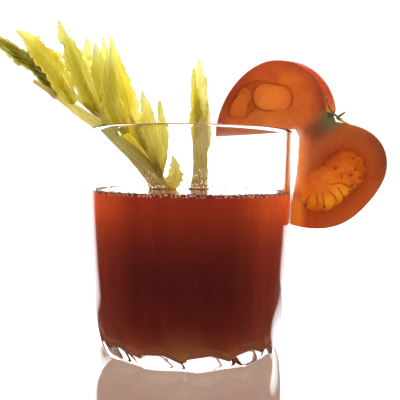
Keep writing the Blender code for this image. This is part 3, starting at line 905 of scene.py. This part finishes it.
class TomatoSettings(bpy.types.PropertyGroup):
    thickness: FloatProperty(name="Thickness", description="Thickness of the slice",
                             default=0.008, min=0.004, max=0.012, unit="LENGTH")
    flesh: FloatVectorProperty(name="Flesh", description="Colour of the cut flesh",
                               default=flesh_tone(186, 83, 33), size=3, subtype="COLOR",
                               min=0.0, max=1.0)
    skin: FloatVectorProperty(name="Skin", description="Colour of the outer skin",
                              default=flesh_tone(208, 74, 32), size=3, subtype="COLOR",
                              min=0.0, max=1.0)
    gel: FloatVectorProperty(name="Gel", description="Colour of the gel round the seeds",
                             default=gel_tone(214, 98, 25), size=3, subtype="COLOR",
                             min=0.0, max=1.0)


def reach_at(shape, angle):
    """Radius of a round outline in this direction."""
    terms = shape[1]
    return terms[0] + sum(terms[2 * k - 1] * math.cos(k * angle)
                          + terms[2 * k] * math.sin(k * angle)
                          for k in range(1, len(terms) // 2 + 1))


def under_skin(look, shape, x, z):
    """How far a point lies inside a round outline, in millimetres."""
    (centre_x, centre_z), terms = shape
    dx, dz = x - centre_x, z - centre_z
    angle = look.maths("ARCTAN2", dz, dx)
    reach = terms[0] - look.maths("SQRT", dx * dx + dz * dz)
    for k in range(1, len(terms) // 2 + 1):
        reach = reach + look.maths("COSINE", angle * k) * terms[2 * k - 1]
        reach = reach + look.maths("SINE", angle * k) * terms[2 * k]
    return reach, angle


def spots(look, x, z, *places):
    """Soft round spots: x and z of the centre, radius and softness of each."""
    mask = None
    for centre_x, centre_z, radius, soft in places:
        dx, dz = x - centre_x, z - centre_z
        here = look.maths("SQRT", dx * dx + dz * dz).step(radius + soft, radius - soft)
        mask = look.maths("MAXIMUM", mask, here) if mask else here
    return mask


def flesh_look(settings):
    """Cut flesh, with the green core between the lobes and painted glare along the edge of the
    slit.
    """
    look = new_look("tomato_flesh")
    vector, x, _, z = look.place()
    wander = look.grain(vector, 0.12, 3.0)
    upper, _ = under_skin(look, UPPER_LOBE, x, z)
    lower, turn = under_skin(look, LOWER_LOBE, x, z)
    gel, _ = under_skin(look, GELS[0][1], x, z)
    amber = spots(look, x, z, (30.0, 100.0, 5.0, 6.0), (19.5, 97.0, 2.0, 4.0),
                  (38.0, 108.0, 2.5, 2.5))
    # painted shade: darker flesh round the long dry sepal
    dusk = spots(look, x, z, (55.0, 105.0, 2.5, 9.0), (52.5, 98.5, 1.0, 9.0))
    low = z.step(94.0, 84.0) * x.step(40.0, 46.0)
    outer = look.maths("MAXIMUM", upper, lower).step(8.0, 0.5)
    rays = look.grain(look.point(turn * 9.0, lower * 0.12), 1.0, 3.0)
    (foot_x, foot_z), (tip_x, tip_z) = CORE_ENDS
    along_x, along_z, length = tip_x - foot_x, tip_z - foot_z, math.dist(*CORE_ENDS)
    run = ((x - foot_x) * along_x + (z - foot_z) * along_z) / length ** 2
    aside = abs((x - foot_x) * along_z - (z - foot_z) * along_x) / length + wander * 2.0
    core = look.ramp(run, [(place, flesh_tone(*values)) for place, values in (
        (0.0, (146, 60, 34)), (0.35, (126, 62, 36)), (0.7, (110, 84, 48)),
        (1.0, (100, 98, 58)))])
    # painted light along the slit by the glass: pale and warm flesh, a painted highlight at its
    # top (shine) and a near-white painted glare along the cut edge
    pale = x.step(49.5, 43.4) * z.step(88.0, 84.0) * z.step(58.0, 68.0)
    warm = x.step(48.0, 44.0) * z.step(64.0, 59.0)
    shine = spots(look, x, z, (42.5, 87.0, 1.5, 3.0))
    under = z.step(90.4, 87.4) * x.step(38.5, 36.0)
    painted_glare = x.step(44.4, 42.2) * z.step(64.0, 72.0) * z.step(88.0, 86.0)
    # painted shadow: a dark line along the edge of the upper lobe by the stem
    line = upper.step(2.6, 1.6) * x.step(46.0, 50.0) * z.step(93.0, 95.0)
    colour = look.coats(flesh_tone, tuple(settings.flesh), (
        (wander.step(0.35, 0.7), (202, 97, 38)),
        (amber * 0.8, (204, 106, 36)),
        (low * 0.85, (174, 76, 35)),
        (gel.step(-6.0, 1.0) * 0.6, (182, 70, 24)),
        (outer * (1.0 - low) * 0.62, (148, 68, 38)),
        (outer * low * z.step(62.0, 78.0) * 0.9, (130, 53, 32)),
        (dusk * 0.85, (132, 44, 29)),
        (rays.step(0.45, 0.75) * 0.07, (220, 130, 68)),
        (aside.step(7.6, 1.6) * run.step(-0.5, 0.35) * 0.95, core),
        (pale * 0.8, (224, 112, 46)),
        (warm * 0.8, (235, 126, 48)),
        (shine * 0.9, (255, 226, 170)),
        (painted_glare * 0.9, (255, 230, 190)),
        (under * 0.75, (172, 90, 50)),
        (line * 0.85, (84, 56, 38))))
    fibre = look.grain(vector, 0.9, 4.0, 0.6)
    ridge = look.bump(fibre + rays * 0.6, 0.35, 0.0003)
    return look.wear(look.glowing(colour, 0.8, {
        "Roughness": 0.22, "Specular IOR Level": 0.3}, ridge))


def skin_look(settings):
    """Smooth red skin, orange at the right where the light comes through."""
    look = new_look("tomato_skin")
    vector, x, _, z = look.place()
    blush = look.grain(vector, 0.1, 3.0).step(0.3, 0.75)
    speck = look.grain(vector, 1.2, 2.0).step(0.62, 0.72)
    colour = look.coats(flesh_tone, tuple(settings.skin), (
        (blush * 0.4, (228, 100, 46)),
        # painted light: orange at the right where the light comes through
        (z.step(104.0, 94.0) * x.step(52.0, 58.0) * 0.8, (236, 132, 52)),
        (speck * 0.2, (240, 150, 80))))
    return look.wear(look.glowing(colour, 0.75, {"Roughness": 0.3, "IOR": 1.4,
                                                 "Coat Weight": 0.15}))


def wall_look():
    """Wet wall of the slit, which the lit backdrop turns nearly white: painted light, as a pale
    colour and an emitted glow.
    """
    look = new_look("tomato_cut_wall")
    vector, _, _, z = look.place()
    bright = look.mix(z.step(58.0, 66.0), shell(232, 104, 48, 1.0), shell(255, 250, 240, 1.0))
    colour = look.mix(look.grain(vector, 0.4, 4.0).step(0.4, 0.7) * 0.2, bright,
                      shell(246, 210, 170, 1.0))
    light = look.mix(z.step(58.0, 68.0), (0.0, 0.0, 0.0), colour)
    return look.wear(look.glowing(colour, 0.3, {
        "Roughness": 0.25, "IOR": 1.38, "Emission Color": light, "Emission Strength": 1.0}))


def gel_look(settings):
    """Clear gel, deeper in the crown and paler in the fan and in the upper lobe."""
    look = new_look("tomato_gel")
    vector, x, _, z = look.place()
    cloud = look.grain(vector, 0.3, 4.0, 0.6)
    depth, turn = under_skin(look, GELS[0][1], x, z)
    rays = look.grain(look.point(turn * 4.0, depth * 0.08), 1.0, 2.0)
    fan = spots(look, x, z, (61.6, 63.0, 3.6, 3.6), (56.4, 60.0, 2.6, 3.0),
                (49.4, 60.4, 1.0, 3.0))
    heart = spots(look, x, z, (51.6, 67.6, 4.0, 6.0))
    crown = spots(look, x, z, (57.0, 79.0, 3.0, 6.0))
    scallop = depth + abs(look.maths("SINE", turn * 8.0)) * 1.1
    colour = look.coats(gel_tone, tuple(settings.gel), (
        (cloud.step(0.38, 0.66), (194, 80, 21)),
        (rays.step(0.55, 0.7) * 0.5, (180, 74, 21)),
        (fan * 0.9, (240, 130, 30)),
        (heart * 0.85, (200, 90, 30)),
        (crown * 0.9, (176, 58, 22)),
        (x.step(48.0, 45.5) * 0.8, (226, 112, 34)),
        (scallop.step(2.4, 0.6) * x.step(48.0, 54.0) * 0.8, (156, 60, 24))))
    faint = look.mix(cloud.step(0.4, 0.7), (0.85, 0.5, 0.21), (0.89, 0.53, 0.22))
    colour = look.mix(z.step(86.0, 88.0), colour, faint)
    drop = look.bump(look.grain(vector, 0.5, 2.0), 0.4, 0.0004)
    return look.wear(look.glowing(colour, 0.94, {"Roughness": 0.08, "IOR": 1.36}, drop))


class TOMATO_OT_add(bpy.types.Operator):
    """Add the flesh and skin of the tomato slice, with its slit over the rim"""
    bl_idname = "mesh.tomato_slice_add"
    bl_label = "Tomato Slice"

    def execute(self, context):
        settings = context.scene.tomato_settings
        half = settings.thickness / MM / 2
        work = bmesh.new()
        push = work.verts.layers.float_vector.new("push")
        rind = work.verts.layers.float.new("rind")
        outer = []
        for shape, span, steps, widest in zip((UPPER_LOBE, LOWER_LOBE), LOBE_SPANS,
                                              LOBE_STEPS, SKIN_LEAN):
            outer += self.skin_edge(work, shape, span, steps, widest, -half, push)
        for vert in outer:
            vert[rind] = 1.0
        outer += [work.verts.new((x, -half, z)) for x, z in self.finer(QUARTER_CUT)]
        self.thicken(work, self.front(work, outer, -half), half, push)
        self.close_front(work, half)
        for face in work.faces:
            middle = face.calc_center_median()
            if abs(abs(middle.y) - half) > 0.01:
                on_rind = all(v[rind] > 0.5 for v in face.verts)
                on_cut = middle.x < SLIT_SIDE and middle.z < SLIT_TOP and not on_rind
                face.material_index = 1 if on_rind else 2 if on_cut else 0
        finish("tomato_slice", work, [flesh_look(settings), skin_look(settings), wall_look()],
               ["tomato_flesh"], 40.0)
        return {"FINISHED"}

    def skin_edge(self, work, shape, span, steps, widest, y, push):
        """Points along the skin of one lobe, each with the way that the skin
        leans out from the front to the back."""
        points, first = [], steps / 6
        last = 2 if shape is UPPER_LOBE else first
        for index in range(steps):
            angle = math.radians(span[0] + (span[1] - span[0]) * index / (steps - 1))
            outward = Vector((math.cos(angle), 0.0, math.sin(angle)))
            vert = work.verts.new(Vector((shape[0][0], y, shape[0][1]))
                                  + outward * reach_at(shape, angle))
            edge = min(1.0, index / first, (steps - 1 - index) / last)
            vert[push] = outward * widest * edge * max(0.0, outward.x)
            if shape is UPPER_LOBE:
                set_back = 2.2 * edge * max(0.0, outward.x + 0.2)
                vert.co -= outward * set_back
                vert[push] += outward * set_back
            points.append(vert)
        return points

    def front(self, work, outer, y):
        """Faces of the front, with a hole for each chamber."""
        loops = [outer]
        for _, shape in GELS:
            turns = [2 * math.pi * k / CHAMBER_STEPS for k in range(CHAMBER_STEPS)]
            loops.append([work.verts.new((
                shape[0][0] + reach_at(shape, a) * math.cos(a), y,
                shape[0][1] + reach_at(shape, a) * math.sin(a))) for a in turns])
        edges = [work.edges.new(pair) for loop in loops
                 for pair in zip(loop, loop[1:] + loop[:1])]
        return only(bmesh.types.BMFace, bmesh.ops.triangle_fill(
            work, use_beauty=True, use_dissolve=False, edges=edges)["geom"])

    def thicken(self, work, faces, half, push):
        """Extrude the front row by row to the back, leaning the skin outwards."""
        last, flat = -half, 0.0
        for run, lean in SKIN_ROWS:
            grown = bmesh.ops.extrude_face_region(work, geom=faces)["geom"]
            bmesh.ops.delete(work, geom=faces, context="FACES_ONLY")
            faces = only(bmesh.types.BMFace, grown)
            here = -half + 2 * half * run
            for vert in only(bmesh.types.BMVert, grown):
                vert.co.y += here - last
                vert.co += vert[push] * (lean - flat)
            last, flat = here, lean

    def finer(self, corners):
        """Split the straight runs of the quarter cut, with a knife's slight waver."""
        line = []
        for start, end in zip(corners, corners[1:]):
            length = math.dist(start, end)
            pieces = max(1, round(length / CUT_PIECE))
            line += [(start[0] + (end[0] - start[0]) * k / pieces
                      + 0.12 * math.sin(3.1 * start[1] + 2.2 * k) * (k > 0),
                      start[1] + (end[1] - start[1]) * k / pieces) for k in range(pieces)]
        return line + [corners[-1]]

    def close_front(self, work, half):
        """The first extrusion leaves the front open: fill it as the back is."""
        rim = [edge for edge in work.edges if edge.is_boundary
               and all(abs(v.co.y + half) < 0.01 for v in edge.verts)]
        if rim:
            bmesh.ops.triangle_fill(work, use_beauty=True, use_dissolve=False, edges=rim)


class GEL_OT_add(bpy.types.Operator):
    """Add the gel in its chambers, with the seeds, walls and veins of the slice"""
    bl_idname = "mesh.tomato_gel_add"
    bl_label = "Tomato Gel and Seeds"

    def execute(self, context):
        settings = context.scene.tomato_settings
        half = settings.thickness / MM / 2
        look = gel_look(settings)
        for name, shape in GELS:
            self.pillow(f"{name}_pulp", shape, half, look, name)
        self.seeds(half)
        self.walls_and_veins(half)
        return {"FINISHED"}

    def seeds(self, half):
        """Flat seeds in both faces, each pointing away from the middle of the fan."""
        work = bmesh.new()
        for face in (-1.0, 1.0):
            for x, z in SEEDS:
                lean = Matrix.Rotation(math.atan2(z - FAN_MIDDLE[1], x - FAN_MIDDLE[0]),
                                       4, "Y").inverted()
                size = Matrix.Diagonal((*SEED_SIZE, 1.0))
                bmesh.ops.create_icosphere(
                    work, subdivisions=2, radius=1.0,
                    matrix=Matrix.Translation((x, face * (half - SEED_DEPTH), z)) @ lean @ size)
        finish("tomato_seeds", work, [self.seed_look()])

    def walls_and_veins(self, half):
        work = bmesh.new()
        for face in (-1.0, 1.0):
            for lines, middle, sides in ((WALLS, 0.3, 10), (VEINS, 0.18, 8)):
                for line in lines:
                    spine = [(x, face * (half - WALL_DEPTH), z,
                              middle if 0 < k < len(line) - 1 else 0.18)
                             for k, (x, z) in enumerate(line)]
                    sweep(work, spine, 8 * (len(spine) - 1), sides)
        lay_uv(work)
        finish("tomato_walls_and_veins", work, [self.wall_skin()])

    def pillow(self, name, shape, half, look, node):
        """Squash a ball into the chamber's outline with a gently swollen face."""
        work = bmesh.new()
        ball = bmesh.ops.create_uvsphere(work, u_segments=96, v_segments=40, radius=1.0,
                                         matrix=Matrix.Rotation(math.pi / 2, 4, "X"))
        for vert in ball["verts"]:
            x, y, z = vert.co
            angle, spread = math.atan2(z, x), min(1.0, math.hypot(x, z))
            reach = (reach_at(shape, angle) + GEL_OVERLAP) * spread ** 0.45
            swell = min(1.0, abs(y) / 0.4) ** 0.5 * math.copysign(1.0, y)
            vert.co = (shape[0][0] + reach * math.cos(angle), 0.0,
                       shape[0][1] + reach * math.sin(angle))
            bulge = 0.2 * noise.noise(Vector(vert.co) * 0.45) + 0.08 * noise.noise(vert.co * 1.3)
            vert.co.y = swell * (half + 0.02 + bulge * (1.0 - spread ** 4))
        finish(name, work, [look], [node], 60.0)

    def seed_look(self):
        look = new_look("tomato_seed")
        vector = look.place()[0]
        colour = look.mix(look.grain(vector, 1.4, 3.0).step(0.35, 0.7), paint(112, 40, 16),
                          paint(168, 84, 30))
        return look.wear(look.node("BsdfPrincipled", None, {
            "Base Color": colour, "Roughness": 0.25, "IOR": 1.4}))

    def wall_skin(self):
        look = new_look("tomato_wall")
        vector, _, _, z = look.place()
        colour = look.mix(look.grain(vector, 0.5, 3.0).step(0.35, 0.7), flesh_tone(200, 88, 34),
                          flesh_tone(214, 104, 42))
        colour = look.mix(z.step(86.0, 88.0), colour, flesh_tone(188, 92, 36))
        return look.wear(look.glowing(colour, 0.6, {"Roughness": 0.2, "IOR": 1.38}))


class CALYX_OT_add(bpy.types.Operator):
    """Add the stem stub and its three sepals"""
    bl_idname = "mesh.tomato_calyx_add"
    bl_label = "Tomato Calyx"

    def execute(self, context):
        work = bmesh.new()
        for spine in CALYX:
            sweep(work, spine, 12 * (len(spine) - 1), 16,
                  lambda turn, reach: 1.0 + 0.12 * math.cos(8 * math.pi * turn), 0.7)
        lay_uv(work)
        look = new_look("tomato_calyx")
        vector, x, _, z = look.place()
        colour = look.mix(look.grain(vector, 0.7, 4.0).step(0.3, 0.7), paint(52, 66, 34),
                          paint(112, 118, 62))
        colour = look.mix(x.step(59.6, 61.0) * z.step(94.0, 93.2), colour, paint(176, 184, 80))
        hair = look.bump(look.grain(vector, 3.0, 3.0), 0.5, 0.0002)
        finish("tomato_stem_and_sepals", work, [look.wear(look.node("BsdfPrincipled", None, {
            "Base Color": colour, "Roughness": 0.6, "Normal": hair}))],
            ["tomato_calyx"], 60.0)
        return {"FINISHED"}


# Stage

FLOOR_RADIUS, FLOOR_GAP = 3.0, 0.0003   # metres


class StageSettings(bpy.types.PropertyGroup):
    lens: FloatProperty(name="Lens", description="Focal length of the camera", default=50.58,
                        min=10.0, max=200.0, subtype="DISTANCE_CAMERA", unit="CAMERA")
    camera_place: FloatVectorProperty(name="Camera Place", description="Where the camera stands",
                                      default=(0.004, -0.232, 0.0748), size=3,
                                      subtype="TRANSLATION", unit="LENGTH")
    tilt: FloatProperty(name="Tilt", description="How far the camera looks down",
                        default=math.radians(3.66), subtype="ANGLE", unit="ROTATION")
    roll: FloatProperty(name="Roll", description="Turn of the camera about its own axis",
                        default=math.radians(0.8), subtype="ANGLE", unit="ROTATION")
    back_light: FloatProperty(name="Back Light", description="Brightness of the lit backdrop",
                              default=2.8, min=0.0, max=10.0)
    front_light: FloatProperty(name="Front Light", description="Brightness from the front",
                               default=0.9, min=0.0, max=10.0)
    mirror: FloatProperty(name="Mirror", description="Share of the floor's mirror image",
                          default=0.803, min=0.0, max=1.0, subtype="FACTOR")
    floor_light: FloatProperty(name="Floor Light", default=0.8, min=0.0, max=5.0,
                               description="Brightness of the floor as a source of light")
    backdrop: FloatProperty(name="Backdrop", default=math.radians(44.0), subtype="ANGLE",
                            unit="ROTATION", description="Half width of the lit backdrop")


def lit_ray(look):
    """1 for the rays that gather soft light, and 0 for mirror images and for
    what shows through the glass."""
    diffuse = look.node("LightPath", out="Is Diffuse Ray")
    return look.maths("MAXIMUM", diffuse,
                      look.node("LightPath", out="Diffuse Depth").step(0.1, 0.9))


class STAGE_OT_add(bpy.types.Operator):
    """Add the camera, the pale polished floor and the soft light box"""
    bl_idname = "scene.juice_stage_add"
    bl_label = "Stage"

    def execute(self, context):
        scene, settings = context.scene, context.scene.stage_settings
        camera = bpy.data.cameras.new("camera")
        camera.lens, camera.sensor_width = settings.lens, 36.0
        camera.clip_start, camera.clip_end = 0.01, 50.0
        view = bpy.data.objects.new("camera", camera)
        view.matrix_world = (Matrix.Translation(settings.camera_place)
                             @ Matrix.Rotation(math.pi / 2 - settings.tilt, 4, "X")
                             @ Matrix.Rotation(settings.roll, 4, "Z"))
        scene.collection.objects.link(view)
        scene.camera = view
        self.light_box(scene, settings)
        work = bmesh.new()
        bmesh.ops.create_circle(work, cap_ends=True, segments=96, radius=FLOOR_RADIUS,
                                matrix=Matrix.Translation((0.0, 0.0, -FLOOR_GAP)))
        mesh = bpy.data.meshes.new("floor")
        work.to_mesh(mesh)
        work.free()
        look = new_look("polished_floor")
        seen, lit = look.node("LightPath", out="Is Camera Ray"), lit_ray(look)
        white = look.node("Emission", None, {"Color": (1.61, 1.25, 1.0),
                                             "Strength": seen + lit * settings.floor_light})
        cast = look.mix(seen, (0.97, 0.97, 0.97), (0.85, 0.94, 1.0))
        mirror = look.node("BsdfGlossy", None, {"Color": cast, "Roughness": 0.0})
        share = seen * settings.mirror + (1.0 - seen) * (1.0 - lit)
        mesh.materials.append(look.wear(look.node("MixShader", None, {
            0: share, 1: white, 2: mirror})))
        floor = bpy.data.objects.new("floor", mesh)
        scene.collection.objects.link(floor)
        scene.view_settings.view_transform = "Standard"
        scene.view_settings.look = "None"
        return {"FINISHED"}

    def light_box(self, scene, settings):
        """A bright backdrop behind, softer sides and a dim front."""
        scene.world = bpy.data.worlds.new("light_box")
        look = Look(scene.world)
        way = look.node("TexCoord", out="Generated")
        x, y, z = (look.node("SeparateXYZ", None, {0: way}, out) for out in range(3))
        back, front = settings.back_light, settings.front_light
        soft = y.step(-0.35, 0.45) * (back - front) + front
        soft = soft + abs(x).step(0.35, 0.95) * (1.0 - y.step(-0.2, 0.5)) * (back * 0.7 - front)
        soft = look.maths("MAXIMUM", soft, z.step(0.45, 0.9) * back * 0.75)
        turn = look.maths("ARCTAN2", abs(x), y)
        sharp = turn.step(settings.backdrop + 0.07, settings.backdrop - 0.07)
        sharp = sharp * (back * 0.86 - 0.03) + 0.03
        lit = lit_ray(look)
        direct = look.node("LightPath", out="Ray Depth").step(1.4, 1.1)
        direct = direct * (1.0 - look.node("LightPath", out="Is Transmission Ray"))
        light = soft * lit + (1.0 - lit) * (direct * 1.1 + (1.0 - direct) * sharp)
        glow = look.node("Background", None, {"Color": (1, 1, 1), "Strength": light})
        look.node("OutputWorld", None, {"Surface": glow})


class VIEW3D_PT_tomato_juice(bpy.types.Panel):
    """Sizes and colours of the drink, with a button for each piece"""
    bl_label = "Tomato Juice"
    bl_space_type = "VIEW_3D"
    bl_region_type = "UI"
    bl_category = "Tomato Juice"

    def draw(self, context):
        for group, operators in PANEL_ROWS:
            box = self.layout.box()
            settings = getattr(context.scene, group)
            for name in settings.bl_rna.properties.keys():
                if name not in ("rna_type", "name"):
                    box.prop(settings, name)
            for operator in operators:
                box.operator(operator.bl_idname)


PANEL_ROWS = (("stage_settings", (STAGE_OT_add,)), ("tumbler_settings", (TUMBLER_OT_add,)),
              ("juice_settings", (JUICE_OT_add, FROTH_OT_add)),
              ("celery_settings", (LARGE_SPRIG_OT_add, SMALL_SPRIG_OT_add)),
              ("tomato_settings", (TOMATO_OT_add, GEL_OT_add, CALYX_OT_add)))
GROUPS = {"stage_settings": StageSettings, "tumbler_settings": TumblerSettings,
          "juice_settings": JuiceSettings, "celery_settings": CelerySettings,
          "tomato_settings": TomatoSettings}
OPERATORS = tuple(operator for _, row in PANEL_ROWS for operator in row)


def register():
    for made in (*GROUPS.values(), *OPERATORS, VIEW3D_PT_tomato_juice):
        bpy.utils.register_class(made)
    for name, group in GROUPS.items():
        setattr(bpy.types.Scene, name, PointerProperty(type=group))


def unregister():
    for name in GROUPS:
        delattr(bpy.types.Scene, name)
    for made in (VIEW3D_PT_tomato_juice, *reversed(OPERATORS), *reversed(GROUPS.values())):
        bpy.utils.unregister_class(made)


def main():
    register()
    bpy.ops.scene.juice_stage_add()
    bpy.ops.mesh.juice_tumbler_add()
    bpy.ops.mesh.tomato_juice_add()
    bpy.ops.mesh.juice_froth_add()
    bpy.ops.mesh.celery_large_add()
    bpy.ops.mesh.celery_small_add()
    bpy.ops.mesh.tomato_slice_add()
    bpy.ops.mesh.tomato_gel_add()
    bpy.ops.mesh.tomato_calyx_add()


if __name__ == "__main__":
    main()
